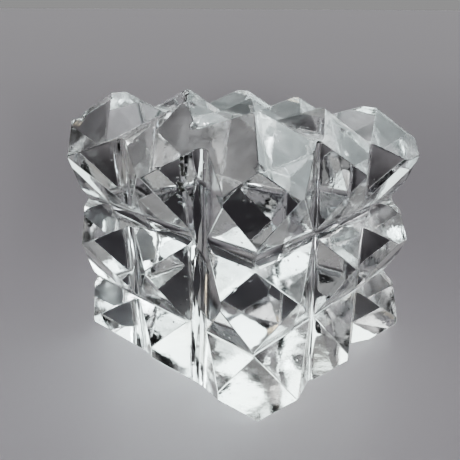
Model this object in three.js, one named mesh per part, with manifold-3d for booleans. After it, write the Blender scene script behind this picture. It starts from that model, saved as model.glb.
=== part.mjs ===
// Rock crystal block with diamond-point facets.
//
// A clear block cut by hand from rock crystal. Two V grooves run each way
// across the top and across each of the four sides, so every one of those
// faces carries three rows of three low pyramids. A wide bevel runs along
// each of the twelve edges. The block stands on a flat cut base.
//
// Units are millimetres. +Z is up. The base lies on the plane z = 0 and the
// block's outer box is centred on the Z axis. The front side faces -Y.

import * as THREE from 'three';
import { mergeVertices } from 'three/addons/utils/BufferGeometryUtils.js';
import Module from 'manifold-3d';

// ---- sizes of the block -------------------------------------------------
//
// All grooves and bevels are measured from the sawn block's own centre line.

// Distance from the centre line to the sawn sides, and height of the sawn top.
const SIDE_REACH = 25.2;
const BLANK_HEIGHT = 45.3;

// Distance between the two parallel grooves of a face.
const GROOVE_PITCH = 15.0;

// Where the sharp bottom of a nominal groove would lie, out from the centre
// line on the sides and up from the base on the top.
const SIDE_GROOVE_REACH = 18.6;
const TOP_GROOVE_HEIGHT = 38.5;

// Height of the middle row of pyramids on the sides.
const MIDDLE_ROW_HEIGHT = 19.2;

// Rise of a groove wall for each millimetre away from the groove line.
const WALL_RISE = 0.65;

// Radius left by the cutting wheel at the bottom of a groove.
const WHEEL_RADIUS = 1.5;
const WHEEL_STEPS = 6;

// Reach of the bevels. On a plane at 45 degrees the two distances from the
// centre (or from the base) add up to these values.
const UPRIGHT_BEVEL_SUM = 38.9;
const TOP_BEVEL_SUM = 58.6;
const BASE_BEVEL_SUM = 18.2;
const BEVEL_ANGLE = 45;

// Size of the tools that take the material away.
const GROOVE_TOOL_LENGTH = 90;
const GROOVE_TOOL_HEIGHT = 14;
const PLANE_TOOL = 120;

// Corners closer together than this are one corner.
const WELD_DISTANCE = 1e-5;

// Clear, nearly colourless crystal with polished faces.
const CRYSTAL_COLOUR = 0xdfe8ea;
const POLISH_ROUGHNESS = 0.05;

// ---- directions ---------------------------------------------------------

const X = new THREE.Vector3(1, 0, 0);
const Y = new THREE.Vector3(0, 1, 0);
const Z = new THREE.Vector3(0, 0, 1);
const opposite = (v) => v.clone().negate();
const MIDDLE = new THREE.Vector3(0, 0, MIDDLE_ROW_HEIGHT);

// Outward and sideways direction of each side.
const SIDE_DIRECTIONS = {
  front: { out: opposite(Y), across: X },
  right: { out: X, across: Y },
  back: { out: Y, across: X },
  left: { out: opposite(X), across: Y },
};

// ---- the grooves as cut, face by face ------------------------------------
//
// at     distance of the groove line from the middle of the face
// sink   how much deeper than nominal the groove is
// fore   wall rise on the positive side of the groove line
// aft    wall rise on the negative side
// skew   sideways drift of the groove line for each millimetre along it
// climb  outward rise of the groove line for each millimetre along it
// wheel  radius at the bottom

const HALF_PITCH = GROOVE_PITCH / 2;
const PLAIN_GROOVE = {
  sink: 0,
  fore: WALL_RISE,
  aft: WALL_RISE,
  skew: 0,
  climb: 0,
  wheel: WHEEL_RADIUS,
};
const groove = (at, changes = {}) => ({ ...PLAIN_GROOVE, at, ...changes });

// Upright grooves are placed along the side, level grooves by height.
const SIDE_GROOVES = {
  front: {
    upright: [
      groove(-HALF_PITCH + 1.1, { sink: -0.9, fore: 0.53, aft: 0.4, skew: -0.04, wheel: 2 }),
      groove(HALF_PITCH + 0.4, { sink: 0.4, fore: 0.6, aft: 0.68, skew: 0.045, wheel: 2.6 }),
    ],
    level: [
      groove(-HALF_PITCH + 0.4, { sink: -0.9, fore: 0.47, aft: 0.62, skew: 0.02, wheel: 0.5 }),
      groove(HALF_PITCH - 0.4, { fore: 0.54, aft: 0.8, skew: 0.03, wheel: 2.4 }),
    ],
  },
  right: {
    upright: [
      groove(-HALF_PITCH + 2.3, { fore: 0.96, aft: 0.5, climb: -0.03, wheel: 1.3 }),
      groove(HALF_PITCH - 0.2, {
        sink: -0.9, fore: 0.55, aft: 0.53, skew: -0.06, climb: 0.03, wheel: 1.1,
      }),
    ],
    level: [
      groove(-HALF_PITCH + 0.4, { sink: -0.55, fore: 0.52, aft: 0.6, skew: -0.03, wheel: 0.5 }),
      groove(HALF_PITCH - 0.8, { sink: 0.4, fore: 0.56, aft: 0.9, skew: -0.04, wheel: 2 }),
    ],
  },
  back: {
    upright: [
      groove(-HALF_PITCH - 0.3, { skew: 0.02 }),
      groove(HALF_PITCH + 0.1, { sink: 0.2, skew: -0.01 }),
    ],
    level: [
      groove(-HALF_PITCH + 0.1, { skew: -0.02, wheel: 1 }),
      groove(HALF_PITCH - 0.2, { sink: -0.1, skew: 0.01 }),
    ],
  },
  left: {
    upright: [
      groove(-HALF_PITCH - 0.1, { climb: 0.08 }),
      groove(HALF_PITCH + 0.2, { sink: 0.6, climb: 0.08 }),
    ],
    level: [
      groove(-HALF_PITCH - 0.2, { sink: 0.6, skew: 0.02, wheel: 1 }),
      groove(HALF_PITCH, { sink: -0.5, skew: -0.01 }),
    ],
  },
};

// Grooves of the top, by the direction they run in.
const TOP_GROOVES = {
  alongY: [
    groove(-HALF_PITCH - 0.8, { sink: 0.6, fore: 0.65, aft: 0.94, skew: 0.1, wheel: 1 }),
    groove(HALF_PITCH - 1.8, { sink: -1.5, fore: 0.43, aft: 0.7, climb: -0.1, wheel: 1.2 }),
  ],
  alongX: [
    groove(-HALF_PITCH + 2.3, { sink: -0.8, fore: 0.68, aft: 0.72, wheel: 3.4 }),
    groove(HALF_PITCH - 1.5, { sink: 0.4, fore: 0.48, aft: 1.05, wheel: 1 }),
  ],
};

// ---- the bevels ---------------------------------------------------------
//
// sum   distances from the two faces' middles that add up on the bevel
// lean  how far the bevel turns from 45 degrees towards its second face
// skew  loss of the sum for each millimetre along the third direction

const bevel = (first, second, sum, changes = {}) => ({
  first,
  second,
  sum,
  lean: 0,
  skew: new THREE.Vector3(),
  ...changes,
});

// The left front bevel moves outward towards the top. The left top bevel moves
// inward and the right base bevel outward towards the back.
const OUT_UPWARD = new THREE.Vector3(0, 0, -0.085);
const IN_BACKWARD = new THREE.Vector3(0, 0.16, 0);
const OUT_BACKWARD = new THREE.Vector3(0, -0.0625, 0);

const BEVELS = [
  bevel(opposite(Y), X, UPRIGHT_BEVEL_SUM),
  bevel(opposite(Y), opposite(X), UPRIGHT_BEVEL_SUM - 1.2, { skew: OUT_UPWARD }),
  bevel(Y, X, UPRIGHT_BEVEL_SUM + 1.8),
  bevel(Y, opposite(X), UPRIGHT_BEVEL_SUM - 0.6),
  bevel(opposite(Y), Z, TOP_BEVEL_SUM),
  bevel(X, Z, TOP_BEVEL_SUM - 0.3),
  bevel(Y, Z, TOP_BEVEL_SUM - 2.2),
  bevel(opposite(X), Z, TOP_BEVEL_SUM - 0.2, { skew: IN_BACKWARD }),
  bevel(opposite(Y), opposite(Z), BASE_BEVEL_SUM),
  bevel(X, opposite(Z), BASE_BEVEL_SUM + 2, { skew: OUT_BACKWARD }),
  bevel(Y, opposite(Z), BASE_BEVEL_SUM + 1),
  bevel(opposite(X), opposite(Z), BASE_BEVEL_SUM + 0.4),
];

// A second, flatter pass at the near end of the right-hand top bevel. It has
// taken the tip of the corner pyramid and stops at the first groove.
const CORNER_PASS = {
  normal: new THREE.Vector3(0.585, 0.06, 0.81).normalize(),
  reach: 43.15,
  edge: -5,
};

// ---- solids -------------------------------------------------------------

const wasm = await Module();
wasm.setup();

// Turn a closed three.js geometry into a solid that can be joined and cut.
function toSolid(geometry) {
  const bare = geometry.clone();
  bare.deleteAttribute('normal');
  bare.deleteAttribute('uv');
  const merged = mergeVertices(bare, WELD_DISTANCE);
  return new wasm.Manifold(new wasm.Mesh({
    numProp: 3,
    vertProperties: new Float32Array(merged.attributes.position.array),
    triVerts: new Uint32Array(merged.index.array),
  }));
}

// Turn a finished solid back into a three.js geometry with flat facets.
function toGeometry(solid) {
  const mesh = solid.getMesh();
  const shared = new THREE.BufferGeometry();
  const corners = new Float32Array(mesh.vertProperties);
  shared.setAttribute('position', new THREE.BufferAttribute(corners, 3));
  shared.setIndex(new THREE.BufferAttribute(new Uint32Array(mesh.triVerts), 1));
  const geometry = shared.toNonIndexed();
  geometry.computeVertexNormals();
  return geometry;
}

// Circle that touches both walls of a groove near its bottom.
function wheelCircle(cut) {
  const foreLength = Math.hypot(1, cut.fore);
  const aftLength = Math.hypot(1, cut.aft);
  const side = cut.wheel * (aftLength - foreLength) / (cut.aft + cut.fore);
  return {
    side,
    height: cut.wheel * foreLength + cut.fore * side - cut.sink,
    start: Math.atan2(-1, -cut.aft),
    end: Math.atan2(-1, cut.fore),
  };
}

// Section of a groove: two straight walls and a round bottom.
function grooveSection(cut) {
  const circle = wheelCircle(cut);
  const section = new THREE.Shape();
  const top = GROOVE_TOOL_HEIGHT;
  section.moveTo(-(top + cut.sink) / cut.aft, top);
  for (let step = 0; step <= WHEEL_STEPS; step += 1) {
    const turn = circle.start + (circle.end - circle.start) * step / WHEEL_STEPS;
    section.lineTo(
      circle.side + cut.wheel * Math.cos(turn),
      circle.height + cut.wheel * Math.sin(turn),
    );
  }
  section.lineTo((top + cut.sink) / cut.fore, top);
  section.closePath();
  return section;
}

// Tool for one groove. Its section lies in the across/out plane.
function grooveTool(cut, across, out, origin) {
  const tool = new THREE.ExtrudeGeometry(grooveSection(cut), {
    depth: GROOVE_TOOL_LENGTH,
    bevelEnabled: false,
  });
  tool.translate(0, 0, -GROOVE_TOOL_LENGTH / 2);
  const along = new THREE.Vector3().crossVectors(across, out);
  const sense = Math.sign(along.x + along.y + along.z);
  const tiltedAlong = along.clone()
    .addScaledVector(across, cut.skew * sense)
    .addScaledVector(out, cut.climb * sense)
    .normalize();
  const tiltedAcross = new THREE.Vector3().crossVectors(out, tiltedAlong).normalize();
  const tiltedOut = new THREE.Vector3().crossVectors(tiltedAlong, tiltedAcross);
  tool.applyMatrix4(
    new THREE.Matrix4().makeBasis(tiltedAcross, tiltedOut, tiltedAlong),
  );
  const place = origin.clone().addScaledVector(across, cut.at);
  tool.translate(place.x, place.y, place.z);
  return toSolid(tool);
}

// Tools for the four grooves of one side.
function sideTools(name) {
  const { out, across } = SIDE_DIRECTIONS[name];
  const { upright, level } = SIDE_GROOVES[name];
  const origin = MIDDLE.clone().addScaledVector(out, SIDE_GROOVE_REACH);
  return [
    ...upright.map((cut) => grooveTool(cut, across, out, origin)),
    ...level.map((cut) => grooveTool(cut, Z, out, origin)),
  ];
}

// Tools for the four grooves of the top.
function topTools() {
  const origin = new THREE.Vector3(0, 0, TOP_GROOVE_HEIGHT);
  return [
    ...TOP_GROOVES.alongY.map((cut) => grooveTool(cut, X, Z, origin)),
    ...TOP_GROOVES.alongX.map((cut) => grooveTool(cut, Y, Z, origin)),
  ];
}

// Tool that takes everything on the far side of a plane.
function planeTool(normal, point) {
  const upright = Math.abs(normal.z) > Math.SQRT1_2;
  const helper = upright ? X : Z;
  const across = new THREE.Vector3().crossVectors(helper, normal).normalize();
  const along = new THREE.Vector3().crossVectors(normal, across);
  const tool = new THREE.BoxGeometry(PLANE_TOOL, PLANE_TOOL, PLANE_TOOL);
  tool.translate(PLANE_TOOL / 2, 0, 0);
  tool.applyMatrix4(new THREE.Matrix4().makeBasis(normal, across, along));
  tool.translate(point.x, point.y, point.z);
  return toSolid(tool);
}

// Tool that takes everything outside one bevel.
function bevelTool({ first, second, sum, lean, skew }) {
  const angle = THREE.MathUtils.degToRad(BEVEL_ANGLE + lean);
  const normal = new THREE.Vector3()
    .addScaledVector(first, Math.cos(angle))
    .addScaledVector(second, Math.sin(angle))
    .addScaledVector(skew, Math.SQRT1_2)
    .normalize();
  const touch = new THREE.Vector3()
    .addScaledVector(first, sum / 2)
    .addScaledVector(second, sum / 2);
  return planeTool(normal, touch);
}

// Tool for the flat second pass on the near right corner of the top.
function cornerTool() {
  const { normal, reach, edge } = CORNER_PASS;
  const pass = planeTool(normal, normal.clone().multiplyScalar(reach));
  const near = new THREE.BoxGeometry(PLANE_TOOL, PLANE_TOOL, PLANE_TOOL);
  near.translate(PLANE_TOOL / 2, edge - PLANE_TOOL / 2, 0);
  return pass.intersect(toSolid(near));
}

// Sawn block before any facet is cut.
function blank() {
  const box = new THREE.BoxGeometry(2 * SIDE_REACH, 2 * SIDE_REACH, BLANK_HEIGHT);
  box.translate(0, 0, BLANK_HEIGHT / 2);
  return toSolid(box);
}

// The finished block.
function cutBlock() {
  const tools = [
    ...Object.keys(SIDE_DIRECTIONS).flatMap(sideTools),
    ...topTools(),
    ...BEVELS.map(bevelTool),
    cornerTool(),
  ];
  return tools.reduce((block, tool) => block.subtract(tool), blank());
}

// The same solid with its outer box centred on the Z axis and standing on z = 0.
function standing(solid) {
  const { min, max } = solid.boundingBox();
  return solid.translate([-(min[0] + max[0]) / 2, -(min[1] + max[1]) / 2, -min[2]]);
}

// ---- the part -----------------------------------------------------------

function crystal() {
  const material = new THREE.MeshStandardMaterial({
    color: CRYSTAL_COLOUR,
    roughness: POLISH_ROUGHNESS,
    metalness: 0,
    flatShading: true,
  });
  const mesh = new THREE.Mesh(toGeometry(standing(cutBlock())), material);
  mesh.name = 'crystal';
  return mesh;
}

const part = new THREE.Group();
part.name = 'faceted_quartz_block';
part.add(crystal());

export default part;
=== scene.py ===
"""Faceted block of clear rock crystal, dressed for a plain studio picture.

The block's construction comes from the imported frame. Here its facets get their
worn edges, its hand polish and its clear stone, and it is set on a pale floor
under soft light. Lengths are metres unless a name says otherwise.
"""

from __future__ import annotations

import logging
import math
import random
from dataclasses import dataclass, field
from enum import Enum
from typing import Any, Mapping, Sequence, Union

import bmesh
import bpy
from mathutils import Matrix, Vector, kdtree, noise


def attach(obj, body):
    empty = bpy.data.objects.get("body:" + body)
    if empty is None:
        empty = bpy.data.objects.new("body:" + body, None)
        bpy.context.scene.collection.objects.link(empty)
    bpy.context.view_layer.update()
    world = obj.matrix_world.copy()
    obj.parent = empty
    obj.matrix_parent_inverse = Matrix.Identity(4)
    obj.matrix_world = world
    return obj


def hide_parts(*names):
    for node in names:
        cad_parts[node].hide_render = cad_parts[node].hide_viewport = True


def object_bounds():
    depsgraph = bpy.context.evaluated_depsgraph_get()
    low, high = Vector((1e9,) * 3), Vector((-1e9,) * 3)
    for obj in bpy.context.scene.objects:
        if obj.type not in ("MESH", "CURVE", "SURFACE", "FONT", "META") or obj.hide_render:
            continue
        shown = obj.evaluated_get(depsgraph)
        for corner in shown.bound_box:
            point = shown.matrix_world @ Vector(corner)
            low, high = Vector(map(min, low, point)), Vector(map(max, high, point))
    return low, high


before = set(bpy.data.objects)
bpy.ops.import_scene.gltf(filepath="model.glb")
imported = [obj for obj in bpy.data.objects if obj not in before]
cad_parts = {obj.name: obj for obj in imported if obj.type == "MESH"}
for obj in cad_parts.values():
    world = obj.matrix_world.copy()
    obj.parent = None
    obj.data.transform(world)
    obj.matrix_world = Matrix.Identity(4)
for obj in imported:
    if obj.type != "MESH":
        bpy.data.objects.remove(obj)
cad_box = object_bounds()

LOG = logging.getLogger("crystal")
MM = 0.001

# How near a point has to be to a cutting plane to count as on it.
CUT_TOLERANCE = 1e-5 * MM

# Numbers of the Mix node's sockets for colours.
MIX_FACTOR, MIX_FIRST, MIX_SECOND, MIX_RESULT = 0, 6, 7, 2

Colour = tuple[float, float, float]
Number = Union[int, float]
BMPart = Union[bmesh.types.BMVert, bmesh.types.BMEdge, bmesh.types.BMFace]


# ---- shader wiring ------------------------------------------------------


class Wire:
    """One output of a shader tree that can be used in sums."""

    def __init__(self, net: "Net", socket: bpy.types.NodeSocket) -> None:
        """Keep the tree and the socket.

        Args:
            net: Tree that the socket belongs to.
            socket: Output that the wire starts from.
        """
        self.net = net
        self.socket = socket

    def __add__(self, other: "Operand") -> "Wire":
        """Return this value plus another."""
        return self.net.maths("ADD", self, other)

    def __radd__(self, other: "Operand") -> "Wire":
        """Return another value plus this one."""
        return self.net.maths("ADD", other, self)

    def __sub__(self, other: "Operand") -> "Wire":
        """Return this value less another."""
        return self.net.maths("SUBTRACT", self, other)

    def __rsub__(self, other: "Operand") -> "Wire":
        """Return another value less this one."""
        return self.net.maths("SUBTRACT", other, self)

    def __mul__(self, other: "Operand") -> "Wire":
        """Return this value times another."""
        return self.net.maths("MULTIPLY", self, other)

    def __rmul__(self, other: "Operand") -> "Wire":
        """Return another value times this one."""
        return self.net.maths("MULTIPLY", other, self)

    def sibling(self, output: str) -> "Wire":
        """Return another output of the same node."""
        return Wire(self.net, self.socket.node.outputs[output])

    def clamped(self) -> "Wire":
        """Return this value held between 0 and 1."""
        return self.net.maths("ADD", self, 0.0, clamp=True)


Operand = Union[Wire, Number]
Input = Union[Wire, Number, Sequence[float]]


class Net:
    """Shader tree of one material or world."""

    def __init__(self, tree: bpy.types.NodeTree) -> None:
        """Start with an empty tree.

        Args:
            tree: Node tree to fill.
        """
        self.tree = tree
        tree.nodes.clear()

    def add(
        self,
        kind: str,
        settings: Mapping[str, Any] | None = None,
        inputs: Mapping[str | int, Input] | None = None,
        output: str | int = 0,
    ) -> Wire:
        """Add one node.

        Args:
            kind: Type of the node without the ShaderNode prefix.
            settings: Properties set before any socket. The key "stops" holds
                the (position, grey) pairs of a ramp.
            inputs: Values or wires by socket name or number.
            output: Name or number of the output that is returned.

        Returns:
            The chosen output.
        """
        node = self.tree.nodes.new("ShaderNode" + kind)
        for name, value in (settings or {}).items():
            if name == "stops":
                self._set_stops(node.color_ramp, value)
            else:
                setattr(node, name, value)
        for name, value in (inputs or {}).items():
            if isinstance(value, Wire):
                self.tree.links.new(value.socket, node.inputs[name])
            else:
                node.inputs[name].default_value = value
        if not node.outputs:
            return Wire(self, node.inputs[0])
        return Wire(self, node.outputs[output])

    @staticmethod
    def _set_stops(ramp: bpy.types.ColorRamp, stops: Sequence[tuple[float, float]]) -> None:
        """Give a ramp its grey stops.

        Args:
            ramp: Ramp with its two first stops.
            stops: Pairs of position and grey.
        """
        while len(ramp.elements) < len(stops):
            ramp.elements.new(1.0)
        for element, (position, grey) in zip(ramp.elements, stops):
            element.position = position
            element.color = (grey, grey, grey, 1.0)

    def maths(self, operation: str, first: Operand, second: Operand, clamp: bool = False) -> Wire:
        """Add one Math node.

        Args:
            operation: Name of the operation.
            first: First value.
            second: Second value.
            clamp: Whether the result is held between 0 and 1.

        Returns:
            The result.
        """
        return self.add(
            "Math", {"operation": operation, "use_clamp": clamp}, {0: first, 1: second}
        )

    def blend(self, factor: Operand, first: Input, second: Input) -> Wire:
        """Mix two colours.

        Args:
            factor: Share of the second colour.
            first: Colour where the factor is 0.
            second: Colour where the factor is 1.

        Returns:
            The mixed colour.
        """
        return self.add(
            "Mix",
            {"data_type": "RGBA"},
            {MIX_FACTOR: factor, MIX_FIRST: first, MIX_SECOND: second},
            output=MIX_RESULT,
        )

    def scaled(self, vector: Wire, factors: Sequence[float]) -> Wire:
        """Multiply a vector by three factors.

        Args:
            vector: Vector to scale.
            factors: One factor for each axis.

        Returns:
            The scaled vector.
        """
        return self.add(
            "VectorMath", {"operation": "MULTIPLY"}, {0: vector, 1: tuple(factors)}
        )

    def finish(self, surface: Wire, volume: Wire | None = None) -> None:
        """Add the output node.

        Args:
            surface: Shader of the surface.
            volume: Shader of the inside.
        """
        inputs = {"Surface": surface}
        if volume is not None:
            inputs["Volume"] = volume
        self.add("OutputMaterial", inputs=inputs)


def rgba(colour: Colour) -> tuple[float, float, float, float]:
    """Return a colour with full alpha."""
    return (*colour, 1.0)


def new_material(name: str) -> tuple[bpy.types.Material, Net]:
    """Make an empty material.

    Args:
        name: Name of the material.

    Returns:
        The material and its tree.
    """
    material = bpy.data.materials.new(name)
    material.use_nodes = True
    return material, Net(material.node_tree)


# ---- things in the scene ------------------------------------------------


def new_object(name: str, data: bpy.types.ID) -> bpy.types.Object:
    """Put a new object into the scene.

    Args:
        name: Name of the object.
        data: Its mesh, light or camera.

    Returns:
        The object.
    """
    made = bpy.data.objects.new(name, data)
    bpy.context.scene.collection.objects.link(made)
    return made


def flat_sheet(name: str, side: float) -> bpy.types.Mesh:
    """Make a flat square.

    Args:
        name: Name of the mesh.
        side: Length of its sides.

    Returns:
        The mesh.
    """
    shape = bmesh.new()
    bmesh.ops.create_grid(shape, x_segments=1, y_segments=1, size=side / 2)
    mesh = bpy.data.meshes.new(name)
    shape.to_mesh(mesh)
    shape.free()
    return mesh


# ---- finishes -----------------------------------------------------------


class Layer(Enum):
    """Names of the maps that the block's mesh carries."""

    FACET = "facet"
    GROOVE = "groove"
    CHIP = "chip"
    GRAIN = "grain"
    # Painted shade in the nicks, darkest where they are deepest.
    NICK_SHADE = "nick_shade"

    def read(self, net: Net, output: str = "Fac") -> Wire:
        """Return the map's value at the surface."""
        return net.add("Attribute", {"attribute_name": self.value}, output=output)


@dataclass(frozen=True)
class Clouds:
    """Soft patches, from a noise cut between two levels."""

    scale: float
    detail: float
    low: float
    high: float
    roughness: float = 0.5
    least: float = 0.0

    def over(self, net: Net, place: Wire) -> Wire:
        """Return the patches.

        Args:
            net: Tree of the material.
            place: Place on the block.

        Returns:
            1 inside a patch, and the least share between the patches.
        """
        level = net.add(
            "TexNoise",
            inputs={
                "Vector": place,
                "Scale": self.scale,
                "Detail": self.detail,
                "Roughness": self.roughness,
            },
        )
        stops = [(self.low, self.least), (self.high, 1.0)]
        return net.add("ValToRGB", {"stops": stops}, {"Fac": level})


@dataclass(frozen=True)
class Relief:
    """One kind of fine relief in the polish."""

    scales: tuple[float, float, float]
    height: float
    detail: float = 1.0
    roughness: float = 0.5

    def over(self, net: Net, place: Wire) -> Wire:
        """Return the height of the relief.

        Args:
            net: Tree of the material.
            place: Place on the block.

        Returns:
            The height.
        """
        level = net.add(
            "TexNoise",
            inputs={
                "Vector": net.scaled(place, self.scales),
                "Scale": 1.0,
                "Detail": self.detail,
                "Roughness": self.roughness,
            },
        )
        return level * self.height


@dataclass(frozen=True)
class Grains:
    """Small round spots, scattered at random."""

    scale: float
    size: float
    share: float

    def over(self, net: Net, place: Wire) -> tuple[Wire, Wire]:
        """Return the spots.

        Args:
            net: Tree of the material.
            place: Place on the block.

        Returns:
            Distance to the nearest spot's middle, and 1 where that spot is there.
        """
        distance = net.add(
            "TexVoronoi",
            {"feature": "F1"},
            {"Vector": place, "Scale": self.scale},
            output="Distance",
        )
        colour = distance.sibling("Color")
        pick = net.add("SeparateXYZ", inputs={"Vector": colour}, output="X")
        return distance, net.maths("LESS_THAN", pick, self.share)


@dataclass(frozen=True)
class CrystalFinish:
    """Clear rock crystal, ground and polished by hand."""

    clear_tint: Colour = (0.985, 0.990, 0.992)
    veil_tint: Colour = (1.0, 0.975, 0.935)
    # Near-black colour painted into the deepest parts of some nicks as painted shade.
    nick_shade_tint: Colour = (0.06, 0.06, 0.05)
    veils: Clouds = Clouds(scale=55.0, detail=2.0, low=0.50, high=0.68)
    refraction: float = 1.544
    depth_colour: Colour = (0.80, 0.84, 0.85)
    depth_density: float = 4.0
    gloss_roughness: float = 0.036
    smear_roughness: float = 0.07
    smears: Clouds = Clouds(scale=90.0, detail=4.0, low=0.52, high=0.75, roughness=0.6)
    haze_roughness: float = 0.05
    haze_rise: tuple[float, float] = (0.45, 0.75)
    hazes: Clouds = Clouds(scale=130.0, detail=5.0, low=0.44, high=0.66)
    chip_roughness: float = 0.22
    base_roughness: float = 0.09
    base_rise: float = -0.95
    waves: Relief = Relief((170.0, 170.0, 170.0), 0.075 * MM, roughness=0.4)
    strokes: Relief = Relief((330.0, 330.0, 60.0), 0.016 * MM)
    ripples: Relief = Relief((520.0, 520.0, 520.0), 0.005 * MM)
    lines: Relief = Relief((1500.0, 1500.0, 45.0), 0.007 * MM, detail=2.0)
    streak_scale: float = 1300.0
    streak_stretch: float = 0.97
    streak_height: float = 0.018 * MM
    pits: Grains = Grains(scale=1150.0, size=0.24, share=0.35)
    pit_depth: float = 0.06 * MM
    pit_patches: Clouds = Clouds(scale=160.0, detail=3.0, low=0.44, high=0.54)
    pit_share_beside_grooves: float = 0.25
    specks: Grains = Grains(scale=560.0, size=0.09, share=0.05)
    dust_colour: Colour = (0.80, 0.80, 0.82)
    dust_roughness: float = 0.8
    film_share: float = 0.07
    groove_film_share: float = 0.07
    film_rise: tuple[float, float] = (0.30, 0.80)
    films: Clouds = Clouds(
        scale=170.0, detail=6.0, low=0.48, high=0.64, roughness=0.65, least=0.06
    )

    def make(self) -> bpy.types.Material:
        """Make the material.

        Returns:
            The finished material.
        """
        material, net = new_material("polished_rock_crystal")
        place = net.add("TexCoord", output="Object")
        stone = net.add(
            "BsdfPrincipled",
            inputs={
                "Base Color": self._tint(net, place),
                "Transmission Weight": 1.0,
                "IOR": self.refraction,
                "Roughness": self._roughness(net, place),
                "Normal": self._normal(net, place),
            },
        )
        dust = net.add(
            "BsdfPrincipled",
            inputs={"Base Color": rgba(self.dust_colour), "Roughness": self.dust_roughness},
        )
        cover = self._specks(net, place) + self._film(net, place)
        surface = net.add("MixShader", inputs={0: cover, 1: stone, 2: dust})
        inside = net.add(
            "VolumeAbsorption",
            inputs={"Color": rgba(self.depth_colour), "Density": self.depth_density},
        )
        net.finish(surface, inside)
        return material

    @staticmethod
    def _rise(net: Net) -> Wire:
        """Return how far the surface looks up, from -1 to 1."""
        normal = net.add("NewGeometry", output="Normal")
        return net.add("SeparateXYZ", inputs={"Vector": normal}, output="Z")

    @staticmethod
    def _looking_up(net: Net, rise: Wire, span: tuple[float, float]) -> Wire:
        """Return where the surface looks up.

        Args:
            net: Tree of the material.
            rise: How far the surface looks up.
            span: Rises between which the share grows from 0 to 1.

        Returns:
            The share.
        """
        return net.add("ValToRGB", {"stops": [(span[0], 0.0), (span[1], 1.0)]}, {"Fac": rise})

    def _tint(self, net: Net, place: Wire) -> Wire:
        """Return the colour: clear, with faint warm veils and painted shade in some nicks, darkest
        where they are deepest.

        Args:
            net: Tree of the material.
            place: Place on the block.

        Returns:
            The colour.
        """
        veils = self.veils.over(net, place)
        clean = net.blend(veils, rgba(self.clear_tint), rgba(self.veil_tint))
        # Painted shade: the nick map turns the stone near black where the nicks are deep.
        return net.blend(Layer.NICK_SHADE.read(net), clean, rgba(self.nick_shade_tint))

    def _roughness(self, net: Net, place: Wire) -> Wire:
        """Return the roughness: gloss, smears, haze on top, a dull base and dull nicks.

        Args:
            net: Tree of the material.
            place: Place on the block.

        Returns:
            The roughness.
        """
        rise = self._rise(net)
        upward = self._looking_up(net, rise, self.haze_rise)
        under = net.maths("LESS_THAN", rise, self.base_rise)
        return (
            self.smears.over(net, place) * self.smear_roughness
            + under * self.base_roughness
            + upward * self.hazes.over(net, place) * self.haze_roughness
            + Layer.CHIP.read(net) * self.chip_roughness
            + self.gloss_roughness
        )

    def _normal(self, net: Net, place: Wire) -> Wire:
        """Return the normal: waves, strokes, ripples, polishing lines, streaks and pits.

        Args:
            net: Tree of the material.
            place: Place on the block.

        Returns:
            The normal.
        """
        height = (
            self.waves.over(net, place)
            + self.strokes.over(net, place)
            + self.ripples.over(net, place)
            + self.lines.over(net, place)
            + self._streaks(net, place)
            + self._pits(net, place)
        )
        return net.add("Bump", inputs={"Height": height, "Distance": 1.0, "Strength": 1.0})

    def _streaks(self, net: Net, place: Wire) -> Wire:
        """Return the height of the streaks that grinding left along the grooves.

        Args:
            net: Tree of the material.
            place: Place on the block.

        Returns:
            The height.
        """
        squeeze = net.add(
            "VectorMath",
            {"operation": "MULTIPLY_ADD"},
            {
                0: Layer.GRAIN.read(net, "Vector"),
                1: (-self.streak_stretch,) * 3,
                2: (1.0, 1.0, 1.0),
            },
        )
        drawn = net.add("VectorMath", {"operation": "MULTIPLY"}, {0: place, 1: squeeze})
        streaks = net.add(
            "TexNoise", inputs={"Vector": drawn, "Scale": self.streak_scale, "Detail": 1.0}
        )
        return streaks * Layer.GROOVE.read(net) * self.streak_height

    def _pits(self, net: Net, place: Wire) -> Wire:
        """Return the height of the small pits left round the grooves.

        Args:
            net: Tree of the material.
            place: Place on the block.

        Returns:
            The height, which is 0 beside the pits.
        """
        distance, chosen = self.pits.over(net, place)
        hollow = (self.pits.size - distance).clamped()
        beside = self.pit_share_beside_grooves
        amount = self.pit_patches.over(net, place) * (
            Layer.GROOVE.read(net) * (1.0 - beside) + beside
        )
        return chosen * hollow * amount * (-self.pit_depth / self.pits.size)

    def _film(self, net: Net, place: Wire) -> Wire:
        """Return how much thin dusty film lies on the facets that look up and in grooves.

        Args:
            net: Tree of the material.
            place: Place on the block.

        Returns:
            The film's share.
        """
        upward = self._looking_up(net, self._rise(net), self.film_rise)
        grooved = Layer.GROOVE.read(net) * self.groove_film_share
        return self.films.over(net, place) * (upward * self.film_share + grooved)

    def _specks(self, net: Net, place: Wire) -> Wire:
        """Return where specks of dust lie.

        Args:
            net: Tree of the material.
            place: Place on the block.

        Returns:
            1 on a speck and 0 beside it.
        """
        distance, chosen = self.specks.over(net, place)
        return chosen * net.maths("LESS_THAN", distance, self.specks.size)


@dataclass(frozen=True)
class FloorFinish:
    """Plain pale floor with a dull shine."""

    colour: Colour = (0.60, 0.585, 0.612)
    roughness: float = 0.32
    gloss_level: float = 0.5

    def make(self) -> bpy.types.Material:
        """Make the material.

        Returns:
            The finished material.
        """
        material, net = new_material("plain_pale_floor")
        surface = net.add(
            "BsdfPrincipled",
            inputs={
                "Base Color": rgba(self.colour),
                "Roughness": self.roughness,
                "Specular IOR Level": self.gloss_level,
            },
        )
        net.finish(surface)
        return material


# ---- the block ----------------------------------------------------------


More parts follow.
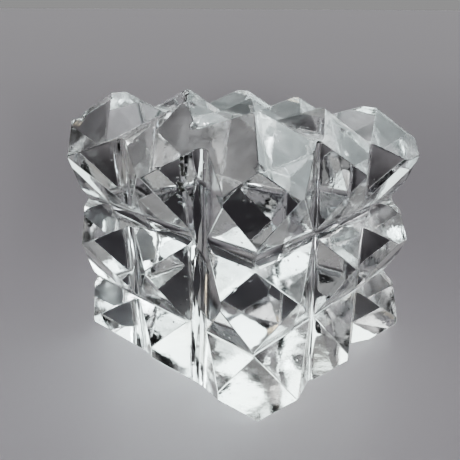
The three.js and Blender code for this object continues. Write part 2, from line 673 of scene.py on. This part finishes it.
@dataclass(frozen=True)
class Unevenness:
    """Soft hills and hollows that hand polishing leaves on a facet."""

    height: float = 0.035 * MM
    width: float = 7.0 * MM
    probe: float = 0.2 * MM

    def at(self, point: Vector) -> float:
        """Return the height at a point."""
        return self.height * noise.noise(point / self.width)

    def slope(self, point: Vector, normal: Vector) -> Vector:
        """Return the slope along the surface.

        Args:
            point: Point on the surface.
            normal: Normal of the facet there.

        Returns:
            Rise for each unit of length, along the facet.
        """
        here = self.at(point)
        rise = Vector(
            (self.at(point + step * self.probe) - here) / self.probe
            for step in (Vector((1, 0, 0)), Vector((0, 1, 0)), Vector((0, 0, 1)))
        )
        return rise - normal * rise.dot(normal)


@dataclass(frozen=True)
class Chip:
    """One shallow shell-shaped nick in the stone."""

    place: Vector
    radius: float
    depth_share: float = 0.30
    ripple_share: float = 0.12
    ripple_turns: float = 9.0
    rim_share: float = 0.25
    rim_grain: float = 0.6
    # Strength of the painted shade in the nick, growing with its depth.
    nick_shade: float = 0.0

    @property
    def reach(self) -> float:
        """Return the distance beyond which the nick leaves the stone alone."""
        return self.radius / (1.0 - self.rim_share)

    def depth(self, point: Vector) -> float:
        """Return how deep the nick is at a point.

        Args:
            point: Point on the surface before it is nicked.

        Returns:
            The depth, which is 0 outside the nick.
        """
        ragged = 1.0 + self.rim_share * noise.noise(point / (self.rim_grain * self.radius))
        share = ragged * (point - self.place).length / self.radius
        if share >= 1.0:
            return 0.0
        ripple = 1.0 + self.ripple_share * math.cos(self.ripple_turns * share)
        return self.depth_share * self.radius * (1.0 - share * share) * ripple


@dataclass(frozen=True)
class ChipRow:
    """A row of nicks along a worn wall."""

    start: Vector
    end: Vector
    count: int
    radius: float
    stray: float
    depth_share: float
    # Strength of the painted shade in each nick of the row.
    nick_shade: float
    size_range: tuple[float, float] = (0.6, 1.4)

    def chips(self, dice: random.Random) -> list[Chip]:
        """Return the nicks of the row.

        Args:
            dice: Source of the row's unevenness.

        Returns:
            The nicks, from the start to the end.
        """
        row = []
        for number in range(self.count):
            place = self.start.lerp(self.end, number / max(1, self.count - 1))
            place += Vector(dice.uniform(-self.stray, self.stray) for _ in range(3))
            radius = self.radius * dice.uniform(*self.size_range)
            row.append(Chip(place, radius, depth_share=self.depth_share, nick_shade=self.nick_shade))
        return row


@dataclass
class ChipField:
    """All the nicks, for finding those near a point."""

    chips: Sequence[Chip]

    def __post_init__(self) -> None:
        """Sort the nicks by place."""
        self.reach = max(chip.reach for chip in self.chips)
        self.tree = kdtree.KDTree(len(self.chips))
        for number, chip in enumerate(self.chips):
            self.tree.insert(chip.place, number)
        self.tree.balance()

    def near(self, point: Vector) -> list[Chip]:
        """Return the nicks that may hold a point."""
        return [self.chips[number] for _, number, _ in self.tree.find_range(point, self.reach)]

    def depth(self, point: Vector) -> float:
        """Return how deep the surface is nicked at a point."""
        return max((chip.depth(point) for chip in self.near(point)), default=0.0)

    def share(self, point: Vector) -> float:
        """Return the depth at a point as a share of the nick's radius."""
        return max((chip.depth(point) / chip.radius for chip in self.near(point)), default=0.0)

    def nick_shade(self, point: Vector) -> float:
        """Return how much painted shade darkens a point, from 0 to 1."""
        nick_darkness = (chip.nick_shade * chip.depth(point) / chip.radius for chip in self.near(point))
        return min(1.0, max(nick_darkness, default=0.0))


@dataclass
class EdgeTrack:
    """Points along a set of edges, for finding what lies near them."""

    edges: Sequence[bmesh.types.BMEdge]
    spacing: float = 0.4 * MM

    def __post_init__(self) -> None:
        """Lay the points along the edges."""
        self.points: list[Vector] = []
        self.directions: list[Vector] = []
        for edge in self.edges:
            start, end = (vert.co.copy() for vert in edge.verts)
            count = max(1, round((end - start).length / self.spacing))
            direction = (end - start).normalized()
            for number in range(count + 1):
                self.points.append(start.lerp(end, number / count))
                self.directions.append(direction)
        self.tree = kdtree.KDTree(len(self.points))
        for number, point in enumerate(self.points):
            self.tree.insert(point, number)
        self.tree.balance()

    def near(self, point: Vector, reach: float) -> tuple[float, Vector]:
        """Return how near a point is to the edges.

        Args:
            point: Point to test.
            reach: Distance at which the nearness has faded to a third.

        Returns:
            Nearness from 0 to 1, and the direction of the nearest edge.
        """
        _, number, distance = self.tree.find(point)
        return math.exp(-distance / reach), self.directions[number]


MARKED_CHIPS = (
    Chip(Vector((-20.2, -18.2, 40.4)) * MM, 1.1 * MM),
    Chip(Vector((-18.9, -18.6, 40.0)) * MM, 0.6 * MM),
    Chip(Vector((2.1, -13.8, 44.3)) * MM, 0.8 * MM),
    Chip(Vector((5.4, -16.5, 42.1)) * MM, 0.7 * MM),
    Chip(Vector((19.6, -19.1, 39.3)) * MM, 0.7 * MM),
    Chip(Vector((19.8, -7.9, 39.0)) * MM, 0.5 * MM),
    Chip(Vector((19.1, -6.2, 37.6)) * MM, 0.6 * MM),
    Chip(Vector((18.4, 1.6, 40.4)) * MM, 0.5 * MM),
    Chip(Vector((20.6, -17.6, 11.1)) * MM, 0.6 * MM),
    Chip(Vector((19.9, -18.3, 28.7)) * MM, 0.3 * MM),
)

CHIP_ROWS = (
    ChipRow(
        start=Vector((6.6, -20.0, 38.0)) * MM,
        end=Vector((6.0, -20.4, 31.6)) * MM,
        count=14,
        radius=0.36 * MM,
        stray=0.30 * MM,
        depth_share=0.5,
        # These nicks get strong painted shade, darkest where they are deepest.
        nick_shade=5.0,
    ),
)


@dataclass
class CrystalBlock:
    """The cut block, with its facets joined and its edges worn."""

    node: str = "crystal"
    body: str = "root"
    slot: str = "clear_crystal"
    flat_angle_deg: float = 0.6
    worn_angle_deg: float = 14.0
    worn_width: float = 0.14 * MM
    worn_steps: int = 2
    worn_profile: float = 0.5
    groove_angle_rad: float = 0.02
    weld_distance: float = 1e-4 * MM
    grid: float = 1.2 * MM
    grid_shift: float = 0.013
    chip_cuts: int = 8
    groove_reach: float = 1.3 * MM
    chip_haze: float = 6.0
    small_chip_count: int = 22
    small_chip: tuple[float, float] = (0.15 * MM, 0.55 * MM)
    small_chip_bias: int = 3
    chip_seed: int = 11
    base_height: float = 0.3 * MM
    base_rise: float = -0.9
    unevenness: Unevenness = field(default_factory=Unevenness)
    finish: CrystalFinish = field(default_factory=CrystalFinish)

    def build(self) -> bpy.types.Object:
        """Build and dress the block.

        Returns:
            The finished piece.
        """
        shape = self._whole_facets()
        grooves, ridges = self._tracks(shape)
        self._wear(shape)
        normals, areas = self._number_facets(shape)
        self._divide(shape)
        nicks = ChipField(self._chips(ridges))
        self._open_chips(shape, nicks.chips)
        vertex_normals = self._shape_surface(shape, nicks, normals, areas)
        mesh = bpy.data.meshes.new("polished_crystal")
        shape.to_mesh(mesh)
        shape.free()
        self._paint(mesh, grooves, nicks)
        for face in mesh.polygons:
            face.use_smooth = True
        mesh.normals_split_custom_set_from_vertices(vertex_normals)
        mesh.materials.append(self.finish.make())
        piece = new_object("polished_crystal", mesh)
        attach(piece, self.body)
        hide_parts(self.node)
        LOG.info("block: %s, %d faces", piece.name, len(mesh.polygons))
        return piece

    def _whole_facets(self) -> bmesh.types.BMesh:
        """Join the triangles of each flat facet.

        Returns:
            The block with each facet as one face.
        """
        shape = bmesh.new()
        shape.from_mesh(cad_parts[self.node].data)
        bmesh.ops.remove_doubles(shape, verts=shape.verts, dist=self.weld_distance)
        bmesh.ops.dissolve_limit(
            shape,
            angle_limit=math.radians(self.flat_angle_deg),
            verts=shape.verts,
            edges=shape.edges,
        )
        return shape

    def _tracks(self, shape: bmesh.types.BMesh) -> tuple[EdgeTrack, EdgeTrack]:
        """Lay tracks along the groove bottoms and along the ridges.

        Args:
            shape: Block with whole facets.

        Returns:
            The track of the grooves and that of the ridges.
        """
        limit = math.radians(self.worn_angle_deg)
        grooves = [e for e in shape.edges if e.calc_face_angle_signed() < -self.groove_angle_rad]
        ridges = [
            e
            for e in shape.edges
            if e.calc_face_angle_signed() > limit
            and min(vert.co.z for vert in e.verts) > self.base_height
        ]
        return EdgeTrack(grooves), EdgeTrack(ridges)

    def _wear(self, shape: bmesh.types.BMesh) -> None:
        """Round the edges between facets a little.

        Args:
            shape: Block with whole facets.
        """
        limit = math.radians(self.worn_angle_deg)
        edges = [edge for edge in shape.edges if edge.calc_face_angle() > limit]
        worn = bmesh.ops.bevel(
            shape,
            geom=edges,
            offset=self.worn_width,
            segments=self.worn_steps,
            profile=self.worn_profile,
            affect="EDGES",
            clamp_overlap=False,
        )
        for face in worn["faces"]:
            face.material_index = 1

    @staticmethod
    def _number_facets(shape: bmesh.types.BMesh) -> tuple[list[Vector], list[float]]:
        """Number the facets, with 0 for what lies between them.

        Args:
            shape: Block with worn edges.

        Returns:
            Normal and area of each numbered facet.
        """
        layer = shape.faces.layers.int.new(Layer.FACET.value)
        normals, areas = [Vector()], [0.0]
        for face in shape.faces:
            if face.material_index == 0:
                face[layer] = len(normals)
                normals.append(face.normal.copy())
                areas.append(face.calc_area())
            face.material_index = 0
        return normals, areas

    def _divide(self, shape: bmesh.types.BMesh) -> None:
        """Divide the facets by planes across each axis.

        Args:
            shape: Block with numbered facets.
        """
        low, high = cad_box
        for axis in range(3):
            span = high[axis] - low[axis]
            count = round(span / self.grid)
            for number in range(1, count):
                place = low[axis] + span * (number + self.grid_shift) / count
                self._cut(shape, [*shape.verts, *shape.edges, *shape.faces], axis, place)

    @staticmethod
    def _cut(
        shape: bmesh.types.BMesh, parts: Sequence[BMPart], axis: int, place: float
    ) -> list[BMPart]:
        """Cut some of the surface by one plane.

        Args:
            shape: Mesh to cut.
            parts: Vertices, edges and faces that may be cut.
            axis: Axis that the plane crosses.
            place: Where it crosses.

        Returns:
            The same parts after the cut.
        """
        middle, direction = Vector(), Vector()
        middle[axis], direction[axis] = place, 1.0
        cut = bmesh.ops.bisect_plane(
            shape, geom=parts, dist=CUT_TOLERANCE, plane_co=middle, plane_no=direction
        )
        return cut["geom"]

    def _chips(self, ridges: EdgeTrack) -> list[Chip]:
        """Choose where the nicks are.

        Args:
            ridges: Track along the ridges.

        Returns:
            The nicks.
        """
        dice = random.Random(self.chip_seed)
        chips = list(MARKED_CHIPS)
        for row in CHIP_ROWS:
            chips += row.chips(dice)
        smallest, largest = self.small_chip
        for _ in range(self.small_chip_count):
            radius = smallest + (largest - smallest) * dice.random() ** self.small_chip_bias
            chips.append(Chip(dice.choice(ridges.points), radius))
        return chips

    def _open_chips(self, shape: bmesh.types.BMesh, chips: Sequence[Chip]) -> None:
        """Divide the surface finely where the nicks are.

        Args:
            shape: Mesh to divide.
            chips: The nicks.
        """
        for chip in chips:
            reach = chip.radius + self.grid
            faces = [
                face
                for face in shape.faces
                if abs(face.verts[0].co.x - chip.place.x) < reach
                and (face.verts[0].co - chip.place).length < reach
            ]
            edges = {edge for face in faces for edge in face.edges}
            verts = {vert for face in faces for vert in face.verts}
            ordered = sorted(edges, key=lambda edge: edge.index)
            parts = [*sorted(verts, key=lambda vert: vert.index), *ordered, *faces]
            half = self.chip_cuts // 2
            step = chip.radius / half
            for axis in range(3):
                for number in range(-half, half + 1):
                    place = chip.place[axis] + (number + self.grid_shift) * step
                    parts = self._cut(shape, parts, axis, place)
            shape.verts.index_update()
            shape.edges.index_update()

    def _shape_surface(
        self,
        shape: bmesh.types.BMesh,
        nicks: ChipField,
        normals: Sequence[Vector],
        areas: Sequence[float],
    ) -> list[Vector]:
        """Give the facets their unevenness and the edges their nicks.

        Args:
            shape: Finely divided block.
            nicks: The nicks.
            normals: Normal of each facet.
            areas: Area of each facet.

        Returns:
            Normal of each vertex.
        """
        layer = shape.faces.layers.int[Layer.FACET.value]
        shape.normal_update()
        resting = []
        for vert in shape.verts:
            facets = {face[layer] for face in vert.link_faces} - {0}
            if facets:
                normal = sum((normals[f] * areas[f] for f in facets), Vector()).normalized()
            else:
                normal = vert.normal.copy()
            resting.append(normal)
        nicked = set()
        for vert, normal in zip(shape.verts, resting):
            if vert.co.z < self.base_height and normal.z < self.base_rise:
                continue
            point = vert.co.copy()
            depth = nicks.depth(point)
            if depth > 0.0:
                nicked.add(vert.index)
            vert.co = point + normal * (self.unevenness.at(point) - self.unevenness.height - depth)
            normal -= self.unevenness.slope(point, normal)
            normal.normalize()
        shape.normal_update()
        shape.verts.index_update()
        for vert in shape.verts:
            if vert.index in nicked:
                resting[vert.index] = vert.normal.copy()
        return resting

    def _paint(
        self,
        mesh: bpy.types.Mesh,
        grooves: EdgeTrack,
        nicks: ChipField,
    ) -> None:
        """Store where the block is grooved and nicked, and the painted shade in the nicks.

        Args:
            mesh: Finished mesh.
            grooves: Track along the groove bottoms.
            nicks: The nicks.
        """
        nearness: list[float] = []
        grain: list[float] = []
        nicked: list[float] = []
        nick_shade: list[float] = []
        for vert in mesh.vertices:
            near, direction = grooves.near(vert.co, self.groove_reach)
            nearness.append(near)
            grain += [abs(part) for part in direction]
            nicked.append(min(1.0, self.chip_haze * nicks.share(vert.co)))
            # Painted shade in the nicks, darkest where they are deepest.
            nick_shade.append(nicks.nick_shade(vert.co))
        self._store(mesh, Layer.GROOVE, nearness)
        self._store(mesh, Layer.CHIP, nicked)
        self._store(mesh, Layer.NICK_SHADE, nick_shade)
        self._store(mesh, Layer.GRAIN, grain, parts=3)

    @staticmethod
    def _store(
        mesh: bpy.types.Mesh, layer: Layer, values: Sequence[float], parts: int = 1
    ) -> None:
        """Store one map on the mesh.

        Args:
            mesh: Mesh that carries the map.
            layer: Name of the map.
            values: The map's numbers, vertex by vertex.
            parts: How many numbers each vertex has, 1 or 3.
        """
        kind, slot = ("FLOAT_VECTOR", "vector") if parts == 3 else ("FLOAT", "value")
        stored = mesh.attributes.new(layer.value, kind, "POINT")
        stored.data.foreach_set(slot, values)


# ---- the studio ---------------------------------------------------------


def towards(bearing_deg: float, height_deg: float) -> Vector:
    """Return the direction from the block to something around it.

    Args:
        bearing_deg: Bearing, from 0 before the front side to 90 beside the right side.
        height_deg: Angle above the floor.

    Returns:
        Direction of length 1.
    """
    bearing = math.radians(bearing_deg)
    height = math.radians(height_deg)
    return Vector(
        (
            math.sin(bearing) * math.cos(height),
            -math.cos(bearing) * math.cos(height),
            math.sin(height),
        )
    )


@dataclass(frozen=True)
class SoftBox:
    """One soft box that faces the block."""

    name: str
    bearing_deg: float
    height_deg: float
    reach: float
    size: tuple[float, float]
    radiance: float
    edge_radiance: float
    colour: Colour = (1.0, 1.0, 1.0)
    falloff: float = 1.8

    def hang(self, lit: bpy.types.Collection) -> None:
        """Hang the soft box.

        Args:
            lit: Collection that the soft box lights.
        """
        mesh = flat_sheet(self.name, 1.0)
        mesh.materials.append(self._cloth())
        box = new_object(self.name, mesh)
        away = towards(self.bearing_deg, self.height_deg)
        box.location = BLOCK_MIDDLE + away * self.reach
        box.rotation_euler = (-away).to_track_quat("-Z", "Y").to_euler()
        box.scale = (*self.size, 1.0)
        box.visible_diffuse = False
        box.visible_camera = False
        box.visible_shadow = False
        box.light_linking.receiver_collection = lit
        LOG.info("soft box: %s", box.name)

    def _cloth(self) -> bpy.types.Material:
        """Make the lit cloth, brightest in its middle.

        Returns:
            The finished material.
        """
        material, net = new_material(self.name)
        place = net.add("TexCoord", output="Object")
        centred = net.scaled(place, (self.falloff,) * 3)
        hot = net.add("TexGradient", {"gradient_type": "QUADRATIC_SPHERE"}, {"Vector": centred})
        dim = tuple(part * self.edge_radiance / self.radiance for part in self.colour)
        level = net.blend(hot, rgba(dim), rgba(self.colour))
        glow = net.add("Emission", inputs={"Color": level, "Strength": self.radiance})
        net.finish(glow)
        return material


BLOCK_MIDDLE = Vector((0.0, 0.0, 22 * MM))
FLOOR_MIDDLE = Vector((0.0, 0.0, 0.0))

# Name, bearing, height, distance, size, radiance in the middle and at the edge, colour.
SOFT_BOXES = (
    SoftBox("far window", 168.0, 44.0, 0.5, (0.50, 0.42), 5.2, 0.7, (0.875, 0.985, 0.98)),
    SoftBox("far left", -140.0, 36.0, 0.5, (0.56, 0.50), 1.5, 0.9, (0.88, 0.99, 0.97)),
    SoftBox("overhead", 40.0, 74.0, 0.5, (0.34, 0.30), 0.5, 0.1, (0.96, 1.0, 1.0)),
    SoftBox("left", -62.0, 46.0, 0.5, (0.32, 0.32), 2.2, 0.4, (0.97, 0.98, 0.97)),
    SoftBox("right", 82.0, 34.0, 0.5, (0.30, 0.26), 3.2, 0.7, (0.95, 0.99, 1.0)),
    SoftBox("front", 10.0, 40.0, 0.6, (0.30, 0.20), 0.9, 0.2, (1.0, 0.99, 1.0)),
    SoftBox("warm glint", -88.0, 27.0, 0.45, (0.13, 0.13), 3.0, 0.2, (1.0, 0.87, 0.66)),
    SoftBox("cool glint", 60.0, 28.0, 0.45, (0.14, 0.14), 2.6, 0.2, (0.76, 0.90, 1.0)),
)


@dataclass
class Studio:
    """Pale floor and soft light."""

    floor_size: float = 60.0
    floor_gap: float = 0.1 * MM
    room_stops: Sequence[tuple[float, float]] = (
        (0.50, 0.165),
        (0.56, 0.17),
        (0.64, 0.18),
        (0.80, 0.22),
        (0.90, 0.16),
        (1.00, 0.08),
    )
    low_bearing_deg: float = 41.0
    low_height_deg: float = 12.0
    low_spread_deg: float = 14.0
    low_power: float = 3.4
    fill_spread_deg: float = 60.0
    fill_power: float = 0.10
    fill_colour: Colour = (1.0, 0.92, 1.06)
    key_place: Sequence[float] = (0.34, 0.03, 0.40)
    key_cone_deg: float = 30.0
    key_softness: float = 0.05
    key_power: float = 19.0
    floor: FloorFinish = field(default_factory=FloorFinish)

    def build(self, block: bpy.types.Object) -> None:
        """Build the floor, the room and the lights.

        Args:
            block: Piece that the key lamp lights.
        """
        floor = self._floor()
        self._room()
        on_floor = self._lit_only("lit by the floor lamp", floor)
        on_block = self._lit_only("lit by the soft boxes", block)
        self._lamps(on_floor, on_block)
        for box in SOFT_BOXES:
            box.hang(on_block)

    @staticmethod
    def _lit_only(name: str, piece: bpy.types.Object) -> bpy.types.Collection:
        """Gather one piece, for lights that reach nothing else.

        Args:
            name: Name of the collection.
            piece: The piece that is lit.

        Returns:
            The collection.
        """
        lit = bpy.data.collections.new(name)
        lit.objects.link(piece)
        return lit

    def _floor(self) -> bpy.types.Object:
        """Lay the floor a hair below the block's base.

        Returns:
            The floor.
        """
        mesh = flat_sheet("floor", self.floor_size)
        mesh.materials.append(self.floor.make())
        floor = new_object("floor", mesh)
        floor.location.z = -self.floor_gap
        LOG.info("floor: %g m across", self.floor_size)
        return floor

    def _room(self) -> None:
        """Fill the room above the floor with soft light that the stone shows."""
        world = bpy.data.worlds.new("studio_room")
        bpy.context.scene.world = world
        world.use_nodes = True
        net = Net(world.node_tree)
        direction = net.add("TexCoord", output="Generated")
        split = net.add("SeparateXYZ", inputs={"Vector": direction}, output="Z")
        height = split * 0.5 + 0.5
        glow = net.add("ValToRGB", {"stops": self.room_stops}, {"Fac": height})
        light = net.add("Background", inputs={"Color": glow, "Strength": 1.0})
        net.add("OutputWorld", inputs={"Surface": light})
        world.cycles_visibility.diffuse = False

    def _lamps(self, on_floor: bpy.types.Collection, on_block: bpy.types.Collection) -> None:
        """Light the floor from low before the block and from above, and the block's dust.

        The low light throws the block's shadow behind it, so that facets through which
        the floor behind the block shows stay dark.

        Args:
            on_floor: Collection that the low light lights.
            on_block: Collection that the key lamp lights.
        """
        low = self._distant("low", self.low_spread_deg, self.low_power)
        place = towards(self.low_bearing_deg, self.low_height_deg)
        lamp = self._hang(low, place, FLOOR_MIDDLE)
        lamp.light_linking.receiver_collection = on_floor
        fill = self._distant("fill", self.fill_spread_deg, self.fill_power)
        fill.color = self.fill_colour
        self._hang(fill, (0.0, 0.0, 1.0), FLOOR_MIDDLE)
        spot = bpy.data.lights.new("key", "SPOT")
        spot.spot_size = math.radians(self.key_cone_deg)
        spot.spot_blend = 1.0
        spot.shadow_soft_size = self.key_softness
        spot.energy = self.key_power
        key = self._hang(spot, self.key_place, BLOCK_MIDDLE)
        key.light_linking.receiver_collection = on_block

    @staticmethod
    def _distant(name: str, spread_deg: float, power: float) -> bpy.types.Light:
        """Make a light that comes from far away.

        Args:
            name: Name of the light.
            spread_deg: How wide it looks from the floor.
            power: Power in watts for each square metre.

        Returns:
            The light.
        """
        light = bpy.data.lights.new(name, "SUN")
        light.angle = math.radians(spread_deg)
        light.energy = power
        return light

    @staticmethod
    def _hang(
        light: bpy.types.Light, place: Sequence[float], target: Sequence[float]
    ) -> bpy.types.Object:
        """Hang a lamp that the stone itself doesn't show.

        Args:
            light: Light of the lamp.
            place: Where it hangs.
            target: Where it points.

        Returns:
            The lamp.
        """
        lamp = new_object(light.name, light)
        lamp.location = place
        aim = Vector(target) - Vector(place)
        lamp.rotation_euler = aim.to_track_quat("-Z", "Y").to_euler()
        lamp.visible_transmission = False
        lamp.visible_glossy = False
        LOG.info("lamp: %s", lamp.name)
        return lamp


@dataclass
class Camera:
    """Camera at a near three-quarter view of the block, looking down on it."""

    place: Sequence[float] = (58.378 * MM, -67.113 * MM, 57.02 * MM)
    target: Sequence[float] = (-1.292 * MM, -1.517 * MM, 19.92 * MM)
    sensor_mm: float = 36.0
    focal_mm: float = 41.476
    roll_deg: float = 0.274
    nearest: float = 1 * MM
    farthest: float = 100.0

    def build(self) -> None:
        """Place the camera."""
        data = bpy.data.cameras.new("camera")
        data.lens = self.focal_mm
        data.sensor_width = self.sensor_mm
        data.clip_start = self.nearest
        data.clip_end = self.farthest
        camera = new_object("camera", data)
        aim = Vector(self.target) - Vector(self.place)
        turn = aim.to_track_quat("-Z", "Y").to_matrix().to_4x4()
        roll = Matrix.Rotation(math.radians(self.roll_deg), 4, "Z")
        camera.matrix_world = Matrix.Translation(self.place) @ turn @ roll
        bpy.context.scene.camera = camera
        LOG.info("camera: %.1f mm lens", self.focal_mm)


@dataclass(frozen=True)
class Tones:
    """Tones of the picture: deep darks and soft whites."""

    transform: str = "AgX"
    look: str = "AgX - Very High Contrast"
    exposure: float = 0.59

    def apply(self) -> None:
        """Set the scene's tones."""
        view = bpy.context.scene.view_settings
        view.view_transform = self.transform
        view.look = self.look
        view.exposure = self.exposure


def main() -> None:
    """Build the camera, the block and its studio."""
    logging.basicConfig(level=logging.INFO, format="%(name)s: %(message)s")
    Camera().build()
    block = CrystalBlock().build()
    Studio().build(block)
    Tones().apply()


if __name__ == "__main__":
    main()
